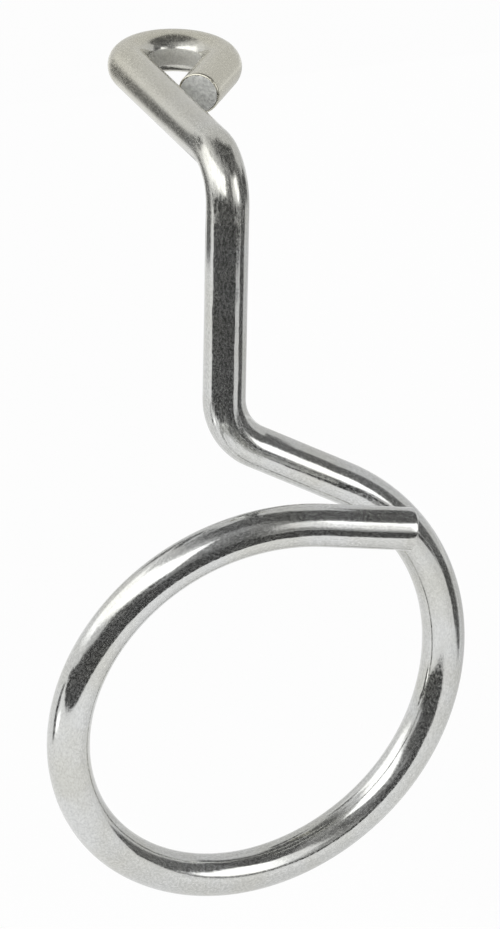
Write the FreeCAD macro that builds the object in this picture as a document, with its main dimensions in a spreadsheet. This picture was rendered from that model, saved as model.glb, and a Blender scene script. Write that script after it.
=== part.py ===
# Cable ring: one length of round wire, bent into a screw eye, a shank and an open ring.
# Sizes are in millimetres and degrees.
import FreeCAD, Part
import math
import os

import Sketcher
from FreeCAD import Vector

RING_BENDS = 6  # The ring is formed in this many equal bends.

DRIVING_SIZES = {
    "wire": 5.7,  # diameter of the wire
    "ring_inside": 51,  # inside diameter of the ring
    "ring_mouth": 10.6,  # how wide a gap a full turn of the ring would leave between its two ends
    "ring_turn": 339,  # how far round the ring is bent
    "ring_lean": 3,  # how far the ring is rolled about the slant, out of the lower bend's plane
    "ring_tail": 12.4,  # straight wire at the ring's free end
    "lower_inside": 5.6,  # inside radius of the bend below the shank
    "lower_turn": 62,  # angle of the bend below the shank
    "slant": 14.2,  # straight wire between the lower bend and the ring
    "shank": 26.8,  # straight wire between the two bends
    "upper_inside": 3.3,  # inside radius of the square bend above the shank
    "run": 30.8,  # straight wire between the upper bend and the eye
    "eye_hole": 6.5,  # diameter of the hole in the eye
    "eye_closing": 37,  # how far past a half turn the eye is bent, to close it
    "eye_gap": 0.2,  # clearance between the eye's cut end and the run
    "end_round": 0.3,  # rounding of the rim of each cut end
}

# Bend radii are measured to the middle of the wire.
SIZES_THAT_FOLLOW = {
    "lower_radius": "=lower_inside + wire / 2",
    "upper_radius": "=upper_inside + wire / 2",
    "eye_radius": "=(eye_hole + wire) / 2",
    "eye_turn": "=180 + eye_closing",
    # How far the eye lies above and behind the shank's foot.
    "eye_height": "=shank + upper_radius",
    "eye_start": "=upper_radius + run",
    # Straight wire at the eye's cut end, which stops just short of the run.
    "eye_tail": "=(eye_hole / 2 * (1 + cos(eye_closing * 1 deg)) - eye_gap) / sin(eye_closing * 1 deg)",
    # How far beside and below the shank's foot the slant ends.
    "slant_across": "=lower_radius * (1 - cos(lower_turn * 1 deg)) + slant * sin(lower_turn * 1 deg)",
    "slant_down": "=lower_radius * sin(lower_turn * 1 deg) + slant * cos(lower_turn * 1 deg)",
    # How far a full turn of the ring would step forward, and the slope of its wire along its axis.
    "ring_pitch": "=ring_mouth + wire",
    "ring_lead": "=atan(ring_pitch / (pi * (ring_inside + wire))) / 1 deg",
    # One of the ring's bends, the roll of the wire between two of them, and how far in and on one ends.
    "ring_radius": "=(ring_inside + wire) / 2 / cos(ring_lead * 1 deg) ^ 2",
    "ring_bend": "=ring_turn / %d" % RING_BENDS,
    "ring_roll": "=ring_bend * tan(ring_lead * 1 deg)",
    "bend_across": "=ring_radius * (1 - cos(ring_bend * 1 deg))",
    "bend_along": "=ring_radius * sin(ring_bend * 1 deg)",
}

doc = FreeCAD.newDocument("cable_ring_part")
sheet = doc.addObject("Spreadsheet::Sheet", "sizes")
for row, (name, value) in enumerate({**DRIVING_SIZES, **SIZES_THAT_FOLLOW}.items(), 1):
    sheet.set("A%d" % row, name)
    sheet.set("B%d" % row, str(value))
    sheet.setAlias("B%d" % row, name)
doc.recompute()

body = doc.addObject("PartDesign::Body", "cable_ring")
body.Label = "cable_ring"
planes = {feature.Role: feature for feature in body.Origin.OriginFeatures}


def sketch_on(plane, name, offset=None):
    """Add a sketch on one of the body's planes, moved from it by an expression for a placement."""
    sketch = body.newObject("Sketcher::SketchObject", name)
    sketch.AttachmentSupport = [(planes[plane], "")]
    sketch.MapMode = "FlatFace"
    if offset:
        sketch.setExpression("AttachmentOffset", offset)
    return sketch


def drive(sketch, expression, *constraint):
    """Add a dimension to a sketch and bind it to the sheet."""
    index = sketch.addConstraint(Sketcher.Constraint(*constraint))
    sketch.setExpression("Constraints[%d]" % index, expression)


def wire_section(name, offset=None):
    """Add a sketch of the wire's round section, centred on the sketch's origin."""
    sketch = sketch_on("XY_Plane", name, offset)
    circle = sketch.addGeometry(Part.Circle(Vector(0, 0, 0), Vector(0, 0, 1), sheet.wire / 2))
    sketch.addConstraint(Sketcher.Constraint("Coincident", circle, 3, -1, 1))
    drive(sketch, "sizes.wire", "Diameter", circle, sheet.wire)
    return sketch


def bend_path(plane, name, radius, turn, after, before=None, down=False, offset=None):
    """Add a sketch of the wire's middle line. It leaves the sketch's origin up or down, and bends towards +X.

    The bend's radius and turn and the straight wire before and after it are names on the sheet.
    A bend with no turn named is square.
    """
    sketch = sketch_on(plane, name, offset)
    way = -1 if down else 1
    r = getattr(sheet, radius)
    angle = math.radians(getattr(sheet, turn) if turn else 90)
    lead_in = getattr(sheet, before) if before else 0
    lead_out = getattr(sheet, after)

    centre = Vector(r, way * lead_in, 0)
    near = math.pi
    far = math.pi - way * angle
    circle = Part.Circle(centre, Vector(0, 0, 1), r)
    arc = sketch.addGeometry(Part.ArcOfCircle(circle, min(near, far), max(near, far)))
    near_end, far_end = (1, 2) if down else (2, 1)
    bend_end = centre + Vector(-r * math.cos(angle), way * r * math.sin(angle), 0)
    heading = Vector(math.sin(angle), way * math.cos(angle), 0)
    out = sketch.addGeometry(Part.LineSegment(bend_end, bend_end + heading * lead_out))

    if before:
        straight = sketch.addGeometry(Part.LineSegment(Vector(0, 0, 0), Vector(0, way * lead_in, 0)))
        sketch.addConstraint(Sketcher.Constraint("Coincident", straight, 1, -1, 1))
        sketch.addConstraint(Sketcher.Constraint("Vertical", straight))
        drive(sketch, "sizes." + before, "Distance", straight, lead_in)
        sketch.addConstraint(Sketcher.Constraint("Tangent", straight, 2, arc, near_end))
    else:
        sketch.addConstraint(Sketcher.Constraint("Coincident", arc, near_end, -1, 1))
        sketch.addConstraint(Sketcher.Constraint("PointOnObject", arc, 3, -1))
    drive(sketch, "sizes." + radius, "Radius", arc, r)
    sketch.addConstraint(Sketcher.Constraint("Tangent", arc, far_end, out, 1))
    drive(sketch, "sizes." + after, "Distance", out, lead_out)
    if turn:
        drive(sketch, "sizes.%s * 1 deg" % turn, "Angle", arc, angle)
    else:
        sketch.addConstraint(Sketcher.Constraint("Horizontal", out))
    return sketch


def bent_wire(name, path, section):
    """Sweep the wire's section along a path."""
    pipe = body.newObject("PartDesign::AdditivePipe", name)
    pipe.Profile = section
    pipe.Spine = path
    doc.recompute()
    return pipe


# The shank stands up from the body's origin, bends square and runs back to the eye.
shank_path = bend_path("YZ_Plane", "shank_path", "upper_radius", None, "run", before="shank")
shank_section = wire_section("shank_section")
bent_wire("shank_and_run", shank_path, shank_section)

# The eye lies flat at the end of the run. It bends sideways and closes on the run's side.
eye_place = "placement(vector(0; sizes.eye_start; sizes.eye_height); rotationx(%d deg))"
eye_path = bend_path("XY_Plane", "eye_path", "eye_radius", "eye_turn", "eye_tail", offset=eye_place % 0)
eye_section = wire_section("eye_section", eye_place % 90)
bent_wire("eye", eye_path, eye_section)

# Below the shank the wire bends sideways and slants down to the top of the ring.
slant_path = bend_path("XZ_Plane", "slant_path", "lower_radius", "lower_turn", "slant", down=True)
slant_section = wire_section("slant_section")
bent_wire("lower_bend_and_slant", slant_path, slant_section)

# The ring curls back under the shank in equal bends. Before each bend but the first, the wire is rolled a
# little, so the ring steps forward as it goes and its free end passes in front of the slant.
ring_place = (
    "placement(vector(sizes.slant_across; 0; -sizes.slant_down);"
    " rotationy((180 - sizes.lower_turn) * 1 deg) * rotationz(sizes.ring_lean * 1 deg))"
)
next_place = (
    "%s.AttachmentOffset * placement(vector(sizes.bend_across; 0; sizes.bend_along);"
    " rotationy(sizes.ring_bend * 1 deg) * rotationz(-sizes.ring_roll * 1 deg))"
)
for number in range(1, RING_BENDS + 1):
    section = wire_section("ring_section_%d" % number, ring_place)
    away = sheet.ring_radius
    axis = section.addGeometry(Part.LineSegment(Vector(away, 0, 0), Vector(away, away, 0)), True)
    section.addConstraint(Sketcher.Constraint("PointOnObject", axis, 1, -1))
    section.addConstraint(Sketcher.Constraint("Vertical", axis))
    drive(section, "sizes.ring_radius", "DistanceX", -1, 1, axis, 1, away)
    drive(section, "sizes.ring_radius", "Distance", axis, away)
    bend = body.newObject("PartDesign::Revolution", "ring_bend_%d" % number)
    bend.Profile = section
    bend.ReferenceAxis = (section, ["Axis0"])
    bend.setExpression("Angle", "sizes.ring_bend * 1 deg")
    doc.recompute()
    ring_place = next_place % section.Name

# The free end runs straight on from the ring.
tail_section = wire_section("tail_section", ring_place)
tail = body.newObject("PartDesign::Pad", "ring_tail")
tail.Profile = tail_section
tail.setExpression("Length", "sizes.ring_tail")
doc.recompute()


def cut_ends(shape):
    """The names of a shape's flat faces, which are the wire's two cut ends."""
    names = []
    for number, face in enumerate(shape.Faces, 1):
        if isinstance(face.Surface, Part.Plane):
            names.append("Face%d" % number)
    return names


# The rims of both cut ends are rounded off.
rims = body.newObject("PartDesign::Fillet", "rims")
rims.Base = (tail, cut_ends(tail.Shape))
rims.setExpression("Radius", "sizes.end_round")
doc.recompute()

# The part's origin is the middle of the eye's hole, with +Z up along the shank.
body.setExpression("Placement.Base.x", "-sizes.eye_radius")
body.setExpression("Placement.Base.y", "-sizes.eye_start")
body.setExpression("Placement.Base.z", "-sizes.eye_height")
doc.recompute()

for item in doc.Objects:
    if "Invalid" in item.State or "Error" in item.State:
        raise RuntimeError("%s did not build" % item.Label)
    if item.isDerivedFrom("Part::Feature"):
        if item.Shape.isNull() or not item.Shape.isValid():
            raise RuntimeError("%s has no valid shape" % item.Label)
if len(body.Shape.Solids) != 1:
    raise RuntimeError("the wire is not one solid")

os.makedirs("parts", exist_ok=True)
body.Shape.exportStep("parts/%s.step" % body.Label)
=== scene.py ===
"""Cable ring: one length of drawn steel wire, bent and zinc plated, shown in a small photo studio.

Lengths are in metres unless a name or a comment says millimetres.
The origin is the middle of the screw eye, and +Z runs up the shank.
"""

import math
from functools import partial

import bpy
from bpy.props import FloatProperty, FloatVectorProperty, PointerProperty
from bpy.types import Node, NodeSocket, Operator, Panel, PropertyGroup
from mathutils import Matrix, Vector


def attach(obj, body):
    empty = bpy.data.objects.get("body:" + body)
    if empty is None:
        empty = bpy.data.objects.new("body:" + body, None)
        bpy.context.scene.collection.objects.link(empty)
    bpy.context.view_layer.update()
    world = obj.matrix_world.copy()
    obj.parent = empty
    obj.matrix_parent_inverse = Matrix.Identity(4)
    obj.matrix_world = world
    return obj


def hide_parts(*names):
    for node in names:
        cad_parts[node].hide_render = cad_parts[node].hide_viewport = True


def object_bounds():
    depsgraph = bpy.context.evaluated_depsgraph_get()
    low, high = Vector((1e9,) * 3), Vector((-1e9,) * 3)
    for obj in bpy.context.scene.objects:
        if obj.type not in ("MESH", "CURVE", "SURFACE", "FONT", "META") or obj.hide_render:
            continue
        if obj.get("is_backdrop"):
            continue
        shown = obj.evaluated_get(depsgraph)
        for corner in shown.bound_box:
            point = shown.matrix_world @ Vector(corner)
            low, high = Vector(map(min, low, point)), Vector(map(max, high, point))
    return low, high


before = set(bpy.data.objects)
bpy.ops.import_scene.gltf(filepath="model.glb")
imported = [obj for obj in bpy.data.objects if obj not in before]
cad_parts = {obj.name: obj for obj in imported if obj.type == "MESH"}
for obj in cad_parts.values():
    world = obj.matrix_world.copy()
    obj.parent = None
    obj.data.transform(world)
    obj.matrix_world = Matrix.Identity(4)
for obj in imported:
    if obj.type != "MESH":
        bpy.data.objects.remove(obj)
CAD_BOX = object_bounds()

bl_info = {
    "name": "Cable Ring",
    "version": (1, 0, 0),
    "blender": (4, 5, 0),
    "location": "3D View > Sidebar > Cable Ring",
    "description": "Builds a zinc plated cable ring and the studio that it is shown in",
    "category": "Object",
}

MM = 0.001
WHITE = (1, 1, 1, 1)

# The ring is formed in this many equal bends.
RING_BENDS = 6

# How finely the wire's surface is drawn.
CORNERS_ROUND = 64
BEND_STEP = math.radians(2.5)
FEED_STEP = 1.0 * MM
RIM_STEPS = 6
FACE_RINGS = 4

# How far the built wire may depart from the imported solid's box.
BOX_TOLERANCE = 0.1 * MM

# What each point of the wire keeps: its place in the wire before bending, the strain that bending gave it,
# and how much more it was stretched than the inside of its bend.
STRAIGHT_WIRE = "straight_wire"
BEND_STRAIN = "bend_strain"
BEND_STRETCH = "bend_stretch"

# A point's curl is the mean over this length to either side of it, so strain eases in at a bend's ends.
STRAIN_EASE = 2.0 * MM

# Patterns of the zinc plate: the size of a mark in millimetres, how much longer it is along the wire, its
# finer detail and its depth. Real plating grain and die lines are finer than a pixel here, so both are
# drawn coarser. The waves are slight ones in the wire's own surface, which bend its reflections.
PLATE_GRAIN_MM = 0.25
PLATE_GRAIN_STRETCH = 1.5
PLATE_GRAIN_DETAIL = 2.0
PLATE_GRAIN_DEPTH = 0.005 * MM
DIE_LINE_MM = 0.25
DIE_LINE_STRETCH = 7
DIE_LINE_DETAIL = 1.0
DIE_LINE_DEPTH = 0.004 * MM
WIRE_WAVE_MM = 5.0
WIRE_WAVE_DETAIL = 1.0
WIRE_WAVE_DEPTH = 0.1 * MM
FILM_CLOUD_MM = 7.0
FILM_CLOUD_DETAIL = 3.0

# Over these spans of its grain, the plate's brightness, metal and roughness go from one value to the other.
GRAIN_SPAN = (0.35, 0.65)
GRAIN_ROUGH_SPAN = (0.4, 0.65)
PLATE_SPECKLE = (0.78, 1.0)
PLATE_METAL = (0.98, 0.83)
PLATE_ROUGH = (0.06, 0.17)

# The clear film's cast drifts over this span of its clouds. Towards the eye, between these places along the
# straight wire, it becomes thick, straw and a little milky, and less so where a bend squeezed the wire.
FILM_SPAN = (0.35, 0.65)
STRAW_SPAN_MM = (46.0, 0.0)
STRAW_STRAIN = (-0.2, -0.4)
STRAW_SHARE = (1.0, 0.4)
STRAW_ROUGH = 0.12

# What bending did to the plate. Where it was stretched, it is dull in streaks along the die lines, and its
# grain stands out. Inside the eye, where it was squeezed hardest, it is scuffed: rougher and less metallic.
DULL_STRETCH = (0.16, 0.34)
STREAK_SPAN = (0.42, 0.66)
STREAK_ROUGH = (0.0, 0.24)
PEEL_STRAIN = (0.0, 0.45)
PEEL_STRENGTH = (0.6, 1.0)
SCUFF_STRAIN = (-0.41, -0.43)
SCUFF_SHARE = (0.0, 0.5)

# The torn grain of the sheared ends, drawn coarser than it is, and what it does over these spans.
SHEAR_GRAIN_MM = 0.5
SHEAR_GRAIN_DETAIL = 4.0
SHEAR_GRAIN_DEPTH = 0.08 * MM
SHEAR_SPECKLE_SPAN = (0.35, 0.6)
SHEAR_SPECKLE = (0.7, 1.0)
SHEAR_ROUGH_SPAN = (0.3, 0.7)
SHEAR_ROUGH = (0.7, 0.95)
SHEAR_METAL = 0.5

# The studio: paper below the part, cloths on the paper, each just above the one before, and cards that
# stand round the part. Cards are drawn in steps of so many degrees, cloths in shares of their whole size,
# and both more finely where an edge fades.
PAPER_LEVEL = -0.12
PAPER_REACH = 4.0
PAPER_GLOW = 0.95
CARD_STEP = 4
CLOTH_STAGGER = 0.0005
CLOTH_STEP = 0.1
FADE_STEPS = 6
CARD_FADE = "card_fade"
WHOLE = (0, 1)

# Cards and softbox fronts round the part: name, distance, bearings from the front and heights in degrees,
# then the widths over which the left, right, lower and upper edges fade, and the strength.
STUDIO_CARDS = (
    ("room", 1.0, (-180, 180), (-8, 90), (0, 0, 0, 0), 0.76),
    ("left_wall", 0.995, (-172, -80), (-8, 52), (18, 14, 0, 12), 0.95),
    ("ceiling", 0.99, (-180, 180), (48, 90), (0, 0, 12, 0), 0.3),
    ("overhead_flag", 0.985, (-180, 180), (60, 90), (0, 0, 12, 0), 0.13),
    ("left_glow", 0.98, (-136, -36), (36, 70), (16, 14, 0, 18), 0.8),
    ("back_wall", 0.975, (112, 210), (30, 69), (16, 16, 20, 9), 0.78),
    ("right_upper_flag", 0.97, (-4, 122), (36, 90), (18, 14, 8, 0), 0.11),
    ("camera_gap", 0.965, (-32, 20), (-8, 60), (6, 8, 0, 12), 0.32),
    ("front_flag_upper", 0.96, (-70, 10), (-8, 24), (14, 10, 0, 16), 0.12),
    ("front_flag", 0.955, (-88, 12), (-8, 5), (10, 8, 0, 8), 0.06),
    ("camera_side", 0.95, (-30, -12), (-4, 30), (6, 5, 10, 10), 0.36),
    ("camera_front", 0.945, (-14, 4), (0, 46), (5, 6, 14, 10), 0.2),
    ("right_gap", 0.94, (2, 56), (-8, 4), (8, 4, 0, 3), 0.42),
    ("right_softbox_edge", 0.61, (5, 26), (4, 38), (8, 4, 12, 5), 1.2),
    ("right_softbox", 0.605, (20, 49), (-3, 38), (9, 3, 7, 4), 2.3),
    ("right_flag", 0.6, (49, 92), (-8, 44), (2, 12, 0, 6), 0.16),
    ("left_softbox_back", 0.36, (-138, -92), (3, 46), (16, 4, 10, 6), 1.9),
    ("left_softbox_middle", 0.355, (-98, -58), (11, 51), (4, 4, 9, 7), 2.1),
    ("left_softbox_front", 0.35, (-64, -23), (12, 50), (4, 7, 8, 8), 2.4),
)

# Small cards close to the wire: name, the point that each stands round and its distance from it, both in
# millimetres, then as for the other cards.
CLOSE_CARDS = (
    # The first card is painted shadow: a dark card below the screw eye that stands for the shade under it,
    # and shows only in reflections.
    ("eye_flag", (0, 2, -3), 30, (50, 215), (-88, -50), (20, 20, 0, 12), 0.08),
    ("run_flag", (-6, -15, 0), 60, (-172, -128), (-32, 14), (16, 12, 16, 16), 0.18),
    ("bend_flag", (-6, -37, -6), 32, (-162, -106), (-36, 4), (12, 14, 8, 12), 0.15),
    ("bend_flag_back", (-6, -34, 0), 32, (-154, -128), (0, 32), (4, 10, 6, 10), 0.2),
    ("bend_flag_right", (-6, -37, -6), 45, (74, 116), (-16, 18), (6, 12, 8, 4), 0.11),
    ("ring_flag", (-31, -40, -75), 60, (-118, -98), (-34, 2), (6, 6, 6, 6), 0.05),
    ("ring_card", (-31, -40, -75), 59, (-100, -78), (-31, -16), (3, 6, 5, 6), 2.2),
)

# Cloths on the paper, with painted shadow, shade and light on it in the first three rows: name, the four
# corners in millimetres, then the shares over which the edges from first corner to last, second to third,
# first to second and third to last fade, and the strength.
STUDIO_CLOTHS = (
    ("paper_shadow", ((-35, -85), (45, -85), (45, 15), (-35, 15)), (0.3, 0.3, 0.3, 0.3), 0.82),
    ("paper_shade", ((20, -80), (20, 300), (500, 300), (500, -80)), (0.25, 0, 0.25, 0), 0.74),
    ("paper_sheen", ((-420, 260), (130, -60), (70, -260), (-420, 0)), (0.1, 0.15, 0.6, 0), 1.16),
    ("front_cloth", ((-1000, 320), (62, -160), (660, -976), (-1000, -980)), (0, 0.015, 0.008, 0), 0.065),
    ("right_cloth", ((105, -122), (105, -50), (1000, 80), (1000, -690)), (0.06, 0.3, 0.02, 0), 0.1),
    ("far_cloth", ((113, -262), (221, -190), (574, -428), (323, -655)), (0.1, 0.1, 0.06, 0.3), 0.1),
)


def linear(hex_colour):
    """Turn an sRGB hex colour into linear red, green and blue."""
    shares = [int(hex_colour[at : at + 2], 16) / 255 for at in (1, 3, 5)]
    return tuple(s / 12.92 if s <= 0.04045 else ((s + 0.055) / 1.055) ** 2.4 for s in shares)


def length(name, description, millimetres):
    """A property for a length."""
    return FloatProperty(name=name, description=description, default=millimetres * MM, subtype="DISTANCE")


def angle(name, description, degrees):
    """A property for an angle."""
    return FloatProperty(name=name, description=description, default=math.radians(degrees), subtype="ANGLE")


def colour(name, description, hex_colour):
    """A property for a colour."""
    return FloatVectorProperty(
        name=name, description=description, default=linear(hex_colour), subtype="COLOR", min=0, max=1
    )


class CableRingSizes(PropertyGroup):
    """Sizes of the bent wire."""

    wire: length("Wire", "Diameter of the wire", 5.7)
    ring_inside: length("Ring inside", "Inside diameter of the ring", 51)
    ring_mouth: length("Ring mouth", "Gap that a full turn of the ring would leave at its ends", 10.6)
    ring_turn: angle("Ring turn", "How far round the ring is bent", 339)
    ring_lean: angle("Ring lean", "Roll of the ring about the slant, out of the lower bend's plane", 3)
    ring_tail: length("Ring tail", "Straight wire at the ring's free end", 12.4)
    lower_inside: length("Lower bend inside", "Inside radius of the bend below the shank", 5.6)
    lower_turn: angle("Lower bend", "Angle of the bend below the shank", 62)
    slant: length("Slant", "Straight wire between the lower bend and the ring", 14.2)
    shank: length("Shank", "Straight wire between the two bends", 26.8)
    upper_inside: length("Upper bend inside", "Inside radius of the square bend above the shank", 3.3)
    run: length("Run", "Straight wire between the upper bend and the eye", 30.8)
    eye_hole: length("Eye hole", "Diameter of the hole in the eye", 6.5)
    eye_closing: angle("Eye closing", "How far past a half turn the eye is bent", 37)
    eye_gap: length("Eye gap", "Clearance between the eye's cut end and the run", 0.2)
    end_round: length("End rounding", "Rounding of the rim of each cut end", 0.3)


class CableRingFinish(PropertyGroup):
    """Colours of the zinc plate and of the studio."""

    zinc_cool: colour("Zinc, cool", "Zinc plate where its clear film is thin", "#D6D7D6")
    zinc_warm: colour("Zinc, warm", "Zinc plate where its clear film is thicker and warmer", "#CFCFCA")
    zinc_straw: colour("Zinc, straw", "Zinc plate at the eye, where its clear film is thickest", "#D7D4C6")
    cut_face: colour("Cut face", "Zinc plate on the sheared ends", "#EDEEEB")
    paper: colour("Paper", "White paper of the floor", "#F7F7F7")


class CableRingView(PropertyGroup):
    """Where the camera stands."""

    aim: FloatVectorProperty(
        name="Aim",
        description="Point in the middle of the picture",
        default=(-3.9 * MM, -41.24 * MM, -41.12 * MM),
        subtype="TRANSLATION",
    )
    bearing: angle("Bearing", "Turn of the camera round the part, from straight in front", -20.86)
    height: angle("Height", "Angle of the camera above the part", 21.52)
    roll: angle("Roll", "Tilt of the camera to one side", 1.12)
    distance: length("Distance", "From the camera to the aim", 1900)
    lens: FloatProperty(name="Lens", description="Focal length", default=559.6, subtype="DISTANCE_CAMERA")


def add_node(tree, kind, inputs=(), **settings):
    """Add a node with its settings, and set its inputs, which are given by name or number.

    An input is set to a value, or linked to an output. A node stands for its first output.
    """
    node = tree.nodes.new(kind)
    for name, value in settings.items():
        setattr(node, name, value)
    for key, value in dict(inputs).items():
        if isinstance(value, Node):
            value = value.outputs[0]
        if isinstance(value, NodeSocket):
            tree.links.new(value, node.inputs[key])
        else:
            node.inputs[key].default_value = value
    return node


def new_material(name):
    """An empty node material and its tree."""
    material = bpy.data.materials.new(name)
    material.use_nodes = True
    material.node_tree.nodes.clear()
    return material, material.node_tree


def walk(start, inward, moves):
    """Follow a wire bender's moves. Each stop has a matrix, a distance along the wire and a curl.

    A matrix holds the two axes of the wire's round section, its heading and its place. The section never
    twists, because a roll only turns the side that the next bend goes to. A curl points to the inside of the
    bend, and its length is one over the bend's radius.
    """
    stops = [(start, 0.0, Vector())]
    for move, *values in moves:
        here, along, _ = stops[-1]
        heading = here.col[2].to_3d()
        if move == "roll":
            inward = Matrix.Rotation(values[0], 3, heading) @ inward
        elif move == "feed":
            steps = math.ceil(values[0] / FEED_STEP)
            for step in range(1, steps + 1):
                fed = values[0] * step / steps
                stops.append((Matrix.Translation(heading * fed) @ here, along + fed, Vector()))
        else:
            radius, turn = values
            axis = heading.cross(inward)
            centre = Matrix.Translation(here.translation + inward * radius)
            steps = math.ceil(turn / BEND_STEP)
            for step in range(1, steps + 1):
                turned = turn * step / steps
                about = centre @ Matrix.Rotation(turned, 4, axis) @ centre.inverted()
                curl = Matrix.Rotation(turned, 3, axis) @ inward / radius
                stops.append((about @ here, along + radius * turned, curl))
            inward = Matrix.Rotation(turn, 3, axis) @ inward
    return stops


def wire_stops(sizes):
    """The stops of the wire's two halves, from the end of the run to the eye's and the ring's cut ends."""
    eye_radius = (sizes.eye_hole + sizes.wire) / 2
    closing = sizes.eye_closing
    eye_tail = (sizes.eye_hole / 2 * (1 + math.cos(closing)) - sizes.eye_gap) / math.sin(closing)
    ring_span = sizes.ring_inside + sizes.wire
    ring_lead = math.atan((sizes.ring_mouth + sizes.wire) / (math.pi * ring_span))
    ring_radius = ring_span / 2 / math.cos(ring_lead) ** 2
    ring_bend = sizes.ring_turn / RING_BENDS
    ring_roll = ring_bend * math.tan(ring_lead)

    sideways, down, back = Vector((1, 0, 0)), Vector((0, 0, -1)), Vector((0, 1, 0))
    run_end = Vector((-eye_radius, 0, 0))
    to_eye = Matrix((sideways, down, back)).transposed().to_4x4()
    to_ring = Matrix((sideways, down, -back)).transposed().to_4x4()
    to_eye.translation = run_end
    to_ring.translation = run_end

    eye = [
        ("bend", eye_radius, math.pi + closing),
        ("feed", eye_tail - sizes.end_round),
    ]
    shank_and_ring = [
        ("feed", sizes.run),
        ("bend", sizes.upper_inside + sizes.wire / 2, math.pi / 2),
        ("feed", sizes.shank),
        ("roll", math.pi / 2),
        ("bend", sizes.lower_inside + sizes.wire / 2, sizes.lower_turn),
        ("feed", sizes.slant),
        ("roll", math.pi + sizes.ring_lean),
    ]
    for _ in range(RING_BENDS):
        shank_and_ring += [("bend", ring_radius, ring_bend), ("roll", -ring_roll)]
    shank_and_ring.append(("feed", sizes.ring_tail - sizes.end_round))
    return walk(to_eye, sideways, eye), walk(to_ring, down, shank_and_ring)


def surface_rows(stops, sizes):
    """Rows round the wire, from its first stop to its cut end.

    Each has a matrix, a radius, a step ahead of the stop, a distance along the wire and a curl. The last
    rows go over the rounded rim and in across the flat face.
    """
    radius, rounding = sizes.wire / 2, sizes.end_round
    rows = [(matrix, radius, 0.0, along, curl) for matrix, along, curl in stops]
    matrix, along, curl = stops[-1]
    for step in range(1, RIM_STEPS + 1):
        turned = math.pi / 2 * step / RIM_STEPS
        inset = rounding * (1 - math.cos(turned))
        rows.append((matrix, radius - inset, rounding * math.sin(turned), along, curl))
    for ring in range(FACE_RINGS - 1, 0, -1):
        rows.append((matrix, (radius - rounding) * ring / FACE_RINGS, rounding, along, curl))
    return rows


def wire_mesh(sizes):
    """The wire as one closed mesh, with what each of its points keeps.

    Places in the straight wire are in millimetres from the end of the run, negative on the eye's side.
    """
    eye_stops, ring_stops = wire_stops(sizes)
    eye_rows = [
        (matrix, radius, ahead, -along, curl, -1)
        for matrix, radius, ahead, along, curl in reversed(surface_rows(eye_stops, sizes))
    ]
    ring_rows = [(*row, 1) for row in surface_rows(ring_stops, sizes)]
    rows = eye_rows + ring_rows[1:]

    points, straight, strain, stretch = [], [], [], []
    for matrix, radius, ahead, along, _, side in rows:
        near = [curl for *_, there, curl, _ in rows if abs(there - along) < STRAIN_EASE]
        curl = sum(near, Vector()) / len(near)
        for corner in range(CORNERS_ROUND):
            turned = 2 * math.pi * corner / CORNERS_ROUND
            across = radius * Vector((math.cos(turned), math.sin(turned), 0))
            points.append(matrix @ (across + Vector((0, 0, ahead))))
            straight.extend((across.x / MM, across.y / MM, (along + side * ahead) / MM))
            strain.append(-(matrix.to_3x3() @ across).dot(curl))
            stretch.append(strain[-1] + curl.length * sizes.wire / 2)
    for matrix, _, ahead, along, _, side in (rows[0], rows[-1]):
        points.append(matrix @ Vector((0, 0, ahead)))
        straight.extend((0, 0, (along + side * ahead) / MM))
        strain.append(0.0)
        stretch.append(0.0)

    faces, on_cut_face = [], []
    flat = [ahead >= sizes.end_round for _, _, ahead, *_ in rows]
    first_middle, last_middle = len(points) - 2, len(points) - 1
    last_row = (len(rows) - 1) * CORNERS_ROUND
    for corner in range(CORNERS_ROUND):
        after = (corner + 1) % CORNERS_ROUND
        faces.append((first_middle, corner, after))
        faces.append((last_row + corner, last_middle, last_row + after))
        on_cut_face += [True, True]
        for number in range(len(rows) - 1):
            here, there = number * CORNERS_ROUND, (number + 1) * CORNERS_ROUND
            faces.append((here + corner, there + corner, there + after, here + after))
            on_cut_face.append(flat[number] and flat[number + 1])

    mesh = bpy.data.meshes.new("bent_wire")
    mesh.from_pydata(points, [], faces, shade_flat=False)
    mesh.attributes.new(STRAIGHT_WIRE, "FLOAT_VECTOR", "POINT").data.foreach_set("vector", straight)
    mesh.attributes.new(BEND_STRAIN, "FLOAT", "POINT").data.foreach_set("value", strain)
    mesh.attributes.new(BEND_STRETCH, "FLOAT", "POINT").data.foreach_set("value", stretch)
    mesh.polygons.foreach_set("material_index", [int(cut) for cut in on_cut_face])
    return mesh


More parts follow.
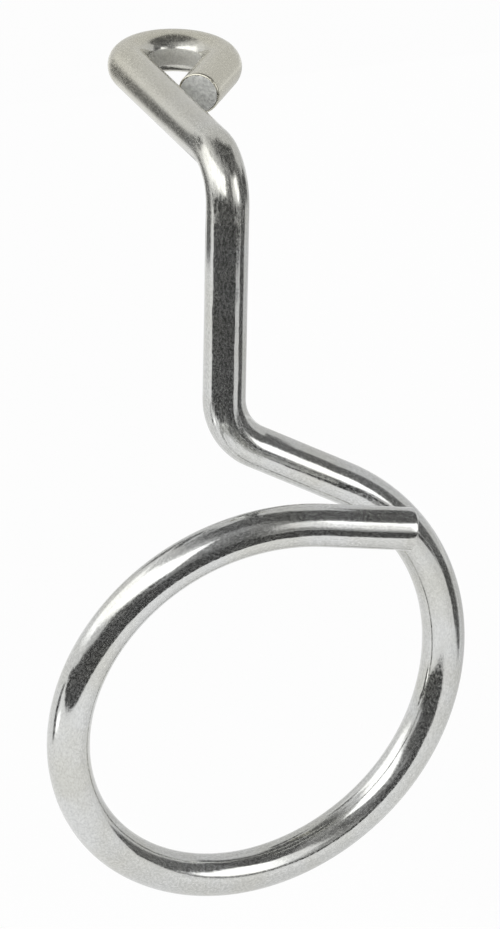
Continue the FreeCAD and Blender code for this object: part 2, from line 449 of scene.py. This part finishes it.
def zinc_plated_wire(finish):
    """Drawn steel wire, bright zinc plated and clear passivated.

    It looks like a slightly soft and wavy mirror, with fine grain from the plating and short lines along the
    wire from the drawing die. Its cast drifts with the thickness of the clear film, and is straw and milky
    at the screw eye. Bends are duller, in streaks, and the tight inside of the screw eye is scuffed matt.
    """
    material, tree = new_material("zinc_plated_drawn_wire")
    place = add_node(tree, "ShaderNodeAttribute", attribute_name=STRAIGHT_WIRE).outputs["Vector"]
    strain = add_node(tree, "ShaderNodeAttribute", attribute_name=BEND_STRAIN).outputs["Fac"]
    stretch = add_node(tree, "ShaderNodeAttribute", attribute_name=BEND_STRETCH).outputs["Fac"]
    along = add_node(tree, "ShaderNodeSeparateXYZ", {0: place}).outputs["Z"]

    # The patterns. Die lines and grain are drawn out along the wire.
    drawing = (1, 1, 1 / DIE_LINE_STRETCH)
    drawn = add_node(tree, "ShaderNodeVectorMath", {0: place, 1: drawing}, operation="MULTIPLY")
    smearing = (1, 1, 1 / PLATE_GRAIN_STRETCH)
    smeared = add_node(tree, "ShaderNodeVectorMath", {0: place, 1: smearing}, operation="MULTIPLY")
    lines, grain, waves, clouds = (
        add_node(tree, "ShaderNodeTexNoise", {"Vector": where, "Scale": 1 / size, "Detail": detail})
        for where, size, detail in (
            (drawn, DIE_LINE_MM, DIE_LINE_DETAIL),
            (smeared, PLATE_GRAIN_MM, PLATE_GRAIN_DETAIL),
            (smeared, WIRE_WAVE_MM, WIRE_WAVE_DETAIL),
            (place, FILM_CLOUD_MM, FILM_CLOUD_DETAIL),
        )
    )

    # Colour: the film's cast, then its straw, flecked by the grain. A Map Range node's inputs are a value,
    # the two ends of the span that it is read over, and what they become.
    cast = add_node(tree, "ShaderNodeMapRange", enumerate((clouds, *FILM_SPAN)))
    clear = add_node(
        tree,
        "ShaderNodeMix",
        {0: cast, 6: (*finish.zinc_cool, 1), 7: (*finish.zinc_warm, 1)},
        data_type="RGBA",
    ).outputs[2]
    straw = add_node(tree, "ShaderNodeMapRange", enumerate((along, *STRAW_SPAN_MM)))
    unsqueezed = add_node(tree, "ShaderNodeMapRange", enumerate((strain, *STRAW_STRAIN, *STRAW_SHARE)))
    share = add_node(tree, "ShaderNodeMath", {0: straw, 1: unsqueezed}, operation="MULTIPLY")
    filmed = add_node(
        tree,
        "ShaderNodeMix",
        {0: share, 6: clear, 7: (*finish.zinc_straw, 1)},
        data_type="RGBA",
    ).outputs[2]
    speckle = add_node(tree, "ShaderNodeMapRange", enumerate((grain, *GRAIN_SPAN, *PLATE_SPECKLE)))
    base = add_node(tree, "ShaderNodeVectorMath", {0: filmed, 1: speckle}, operation="MULTIPLY")

    # Roughness: the grain's, and the milky film's or the streaks', whichever is more, and the scuffs'.
    soft = add_node(tree, "ShaderNodeMapRange", enumerate((grain, *GRAIN_ROUGH_SPAN, *PLATE_ROUGH)))
    milky = add_node(tree, "ShaderNodeMath", {0: share, 1: STRAW_ROUGH}, operation="MULTIPLY")
    stretched = add_node(tree, "ShaderNodeMapRange", enumerate((stretch, *DULL_STRETCH)))
    streaks = add_node(tree, "ShaderNodeMapRange", enumerate((lines, *STREAK_SPAN, *STREAK_ROUGH)))
    crazed = add_node(tree, "ShaderNodeMath", {0: stretched, 1: streaks}, operation="MULTIPLY")
    dulled = add_node(tree, "ShaderNodeMath", {0: milky, 1: crazed}, operation="MAXIMUM")
    scuffs = add_node(tree, "ShaderNodeMapRange", enumerate((strain, *SCUFF_STRAIN, *SCUFF_SHARE)))
    worked = add_node(tree, "ShaderNodeMath", {0: dulled, 1: scuffs}, operation="ADD")
    rough = add_node(tree, "ShaderNodeMath", {0: soft, 1: worked}, operation="ADD")

    # Metal, less of it where the plate is scuffed.
    plate = add_node(tree, "ShaderNodeMapRange", enumerate((grain, *GRAIN_SPAN, *PLATE_METAL)))
    metallic = add_node(tree, "ShaderNodeMath", {0: plate, 1: scuffs}, operation="SUBTRACT")

    # Relief: waves, die lines on them and grain on those.
    wave_bump = add_node(
        tree, "ShaderNodeBump", {"Strength": 1.0, "Distance": WIRE_WAVE_DEPTH, "Height": waves}
    )
    line_bump = add_node(
        tree,
        "ShaderNodeBump",
        {"Strength": 1.0, "Distance": DIE_LINE_DEPTH, "Height": lines, "Normal": wave_bump},
    )
    peel = add_node(tree, "ShaderNodeMapRange", enumerate((strain, *PEEL_STRAIN, *PEEL_STRENGTH)))
    grain_bump = add_node(
        tree,
        "ShaderNodeBump",
        {"Strength": peel, "Distance": PLATE_GRAIN_DEPTH, "Height": grain, "Normal": line_bump},
    )
    metal = add_node(
        tree,
        "ShaderNodeBsdfPrincipled",
        {"Base Color": base, "Metallic": metallic, "Roughness": rough, "Normal": grain_bump},
    )
    add_node(tree, "ShaderNodeOutputMaterial", {"Surface": metal})
    return material


def sheared_end(finish):
    """Zinc plate over the wire's sheared ends.

    They look like dull grey faces with a fine torn grain, because the plating follows the rough break.
    """
    material, tree = new_material("zinc_plated_sheared_end")
    place = add_node(tree, "ShaderNodeAttribute", attribute_name=STRAIGHT_WIRE).outputs["Vector"]
    torn = add_node(
        tree,
        "ShaderNodeTexNoise",
        {"Vector": place, "Scale": 1 / SHEAR_GRAIN_MM, "Detail": SHEAR_GRAIN_DETAIL},
    )
    face = tuple(finish.cut_face)
    speckle = add_node(tree, "ShaderNodeMapRange", enumerate((torn, *SHEAR_SPECKLE_SPAN, *SHEAR_SPECKLE)))
    base = add_node(tree, "ShaderNodeVectorMath", {0: face, 1: speckle}, operation="MULTIPLY")
    rough = add_node(tree, "ShaderNodeMapRange", enumerate((torn, *SHEAR_ROUGH_SPAN, *SHEAR_ROUGH)))
    bump = add_node(
        tree, "ShaderNodeBump", {"Strength": 1.0, "Distance": SHEAR_GRAIN_DEPTH, "Height": torn}
    )
    metal = add_node(
        tree,
        "ShaderNodeBsdfPrincipled",
        {"Base Color": base, "Metallic": SHEAR_METAL, "Roughness": rough, "Normal": bump},
    )
    add_node(tree, "ShaderNodeOutputMaterial", {"Surface": metal})
    return material


class CABLERING_OT_wire(Operator):
    """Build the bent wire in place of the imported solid"""

    bl_idname = "cable_ring.wire"
    bl_label = "Bent Wire"

    def execute(self, context):
        scene = context.scene
        mesh = wire_mesh(scene.cable_ring_sizes)
        for finish in (zinc_plated_wire, sheared_end):
            mesh.materials.append(finish(scene.cable_ring_finish))
        wire = bpy.data.objects.new("bent_wire", mesh)
        scene.collection.objects.link(wire)
        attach(wire, "root")
        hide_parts("cable_ring")
        for made, packed in zip(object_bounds(), CAD_BOX):
            if (made - packed).length > BOX_TOLERANCE:
                raise RuntimeError("the bent wire doesn't have the packed solid's box")
        return {"FINISHED"}


def white_paper(finish):
    """Matt white paper. It reads as white to the camera and in the metal, and still takes a soft shadow."""
    material, tree = new_material("matt_white_paper")
    path = add_node(tree, "ShaderNodeLightPath").outputs
    seen = path["Is Camera Ray"]
    for ray in ("Is Glossy Ray", "Is Transmission Ray"):
        seen = add_node(tree, "ShaderNodeMath", {0: seen, 1: path[ray]}, operation="MAXIMUM")
    share = add_node(tree, "ShaderNodeMath", {0: seen, 1: PAPER_GLOW}, operation="MULTIPLY")
    matt = add_node(tree, "ShaderNodeBsdfDiffuse", {"Color": (*finish.paper, 1)})
    glow = add_node(tree, "ShaderNodeEmission", {"Color": WHITE, "Strength": 1.0})
    mixed = add_node(tree, "ShaderNodeMixShader", {0: share, 1: matt, 2: glow})
    add_node(tree, "ShaderNodeOutputMaterial", {"Surface": mixed})
    return material


def card_front(name, strength):
    """The front of a card, cloth or softbox: white to near black by its strength, with soft clear edges."""
    material, tree = new_material(name)
    material.cycles.emission_sampling = "NONE"
    fade = add_node(tree, "ShaderNodeAttribute", attribute_name=CARD_FADE).outputs["Fac"]
    clear = add_node(tree, "ShaderNodeBsdfTransparent")
    glow = add_node(tree, "ShaderNodeEmission", {"Color": WHITE, "Strength": strength})
    mixed = add_node(tree, "ShaderNodeMixShader", {0: fade, 1: clear, 2: glow})
    add_node(tree, "ShaderNodeOutputMaterial", {"Surface": mixed})
    return material


def edge_fade(value, span, edges):
    """0 at either end of a span and 1 inside it, eased over the width given for each edge."""
    fade = 1.0
    for inside, width in ((value - span[0], edges[0]), (span[1] - value, edges[1])):
        if width and inside < width:
            share = inside / width
            fade *= share * share * (3 - 2 * share)
    return fade


def round_about(middle, distance, bearing, height):
    """A place round a point, from its distance, bearing and height in degrees."""
    bearing, height = math.radians(bearing), math.radians(height)
    level = math.cos(height)
    way = Vector((math.sin(bearing) * level, -math.cos(bearing) * level, math.sin(height)))
    return middle + way * distance


def on_the_paper(corners, level, across, away):
    """A place on the paper, from shares of the way across and away between four corners in millimetres."""
    first, second, third, last = (Vector((*corner, 0)) * MM for corner in corners)
    place = first.lerp(second, across).lerp(last.lerp(third, across), away)
    place.z = level
    return place


def card_lines(span, edges, step):
    """Where a card's rows or columns of points lie: even steps, and closer ones where an edge fades."""
    inside = (span[0] + edges[0], span[1] - edges[1])
    steps = (FADE_STEPS, math.ceil((inside[1] - inside[0]) / step), FADE_STEPS)
    lines = [span[0]]
    for start, end, count in zip((span[0], *inside), (*inside, span[1]), steps):
        if end > start:
            lines += [start + (end - start) * number / count for number in range(1, count + 1)]
    return lines


def studio_card(card, step, place):
    """A card with soft edges. The function place gives where a point goes, from its column and row."""
    name, across, up, edges, strength = card
    columns = card_lines(across, edges[:2], step)
    rows = card_lines(up, edges[2:], step)
    points, faces, fades = [], [], []
    for row in rows:
        for column in columns:
            points.append(place(column, row))
            fades.append(edge_fade(column, across, edges[:2]) * edge_fade(row, up, edges[2:]))
    for row in range(len(rows) - 1):
        for column in range(len(columns) - 1):
            corner = row * len(columns) + column
            faces.append((corner, corner + 1, corner + len(columns) + 1, corner + len(columns)))
    mesh = bpy.data.meshes.new(name)
    mesh.from_pydata(points, [], faces)
    mesh.attributes.new(CARD_FADE, "FLOAT", "POINT").data.foreach_set("value", fades)
    mesh.materials.append(card_front(name, strength))
    made = bpy.data.objects.new(name, mesh)
    made.visible_camera = False
    return made


class CABLERING_OT_stage(Operator):
    """Set up the paper, the softboxes and cards, the world and the camera"""

    bl_idname = "cable_ring.stage"
    bl_label = "Studio"

    def execute(self, context):
        scene = context.scene
        low, high = CAD_BOX
        middle = (low + high) / 2

        ways = ((-1, -1), (1, -1), (1, 1), (-1, 1))
        sheet = [(middle.x + x * PAPER_REACH, middle.y + y * PAPER_REACH, PAPER_LEVEL) for x, y in ways]
        mesh = bpy.data.meshes.new("paper")
        mesh.from_pydata(sheet, [], [(0, 1, 2, 3)])
        mesh.materials.append(white_paper(scene.cable_ring_finish))
        pieces = [bpy.data.objects.new("paper", mesh)]

        for name, distance, *looks in STUDIO_CARDS:
            pieces.append(studio_card((name, *looks), CARD_STEP, partial(round_about, middle, distance)))
        for name, point, distance, *looks in CLOSE_CARDS:
            near = partial(round_about, Vector(point) * MM, distance * MM)
            pieces.append(studio_card((name, *looks), CARD_STEP, near))
        for number, (name, corners, *looks) in enumerate(STUDIO_CLOTHS):
            level = PAPER_LEVEL + CLOTH_STAGGER * (number + 1)
            cloth = (name, WHOLE, WHOLE, *looks)
            pieces.append(studio_card(cloth, CLOTH_STEP, partial(on_the_paper, corners, level)))

        for piece in pieces:
            scene.collection.objects.link(piece)
            piece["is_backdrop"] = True

        scene.world = bpy.data.worlds.new("studio")
        scene.world.use_nodes = True
        tree = scene.world.node_tree
        tree.nodes.clear()
        sky = add_node(tree, "ShaderNodeBackground", {"Color": WHITE, "Strength": 1.0})
        add_node(tree, "ShaderNodeOutputWorld", {"Surface": sky})

        view = scene.cable_ring_view
        camera = bpy.data.objects.new("camera", bpy.data.cameras.new("camera"))
        camera.data.lens = view.lens
        turn = (
            Matrix.Rotation(view.bearing, 4, "Z")
            @ Matrix.Rotation(math.pi / 2 - view.height, 4, "X")
            @ Matrix.Rotation(view.roll, 4, "Z")
        )
        back = Vector((0, 0, view.distance))
        camera.matrix_world = Matrix.Translation(Vector(view.aim)) @ turn @ Matrix.Translation(back)
        scene.collection.objects.link(camera)
        scene.camera = camera

        scene.view_settings.view_transform = "Standard"
        return {"FINISHED"}


class VIEW3D_PT_cable_ring(Panel):
    """Lists the cable ring's operators and sizes"""

    bl_label = "Cable Ring"
    bl_space_type = "VIEW_3D"
    bl_region_type = "UI"
    bl_category = "Cable Ring"

    def draw(self, context):
        layout = self.layout
        for operator in (CABLERING_OT_wire, CABLERING_OT_stage):
            layout.operator(operator.bl_idname)
        for group in PROPERTY_GROUPS:
            settings = getattr(context.scene, group)
            column = layout.column()
            for name in PROPERTY_GROUPS[group].__annotations__:
                column.prop(settings, name)


PROPERTY_GROUPS = {
    "cable_ring_sizes": CableRingSizes,
    "cable_ring_finish": CableRingFinish,
    "cable_ring_view": CableRingView,
}
CLASSES = (*PROPERTY_GROUPS.values(), CABLERING_OT_wire, CABLERING_OT_stage, VIEW3D_PT_cable_ring)


def register():
    for kind in CLASSES:
        bpy.utils.register_class(kind)
    for name, kind in PROPERTY_GROUPS.items():
        setattr(bpy.types.Scene, name, PointerProperty(type=kind))


def unregister():
    for name in PROPERTY_GROUPS:
        delattr(bpy.types.Scene, name)
    for kind in reversed(CLASSES):
        bpy.utils.unregister_class(kind)


def main():
    register()
    bpy.ops.cable_ring.wire()
    bpy.ops.cable_ring.stage()


if __name__ == "__main__":
    main()
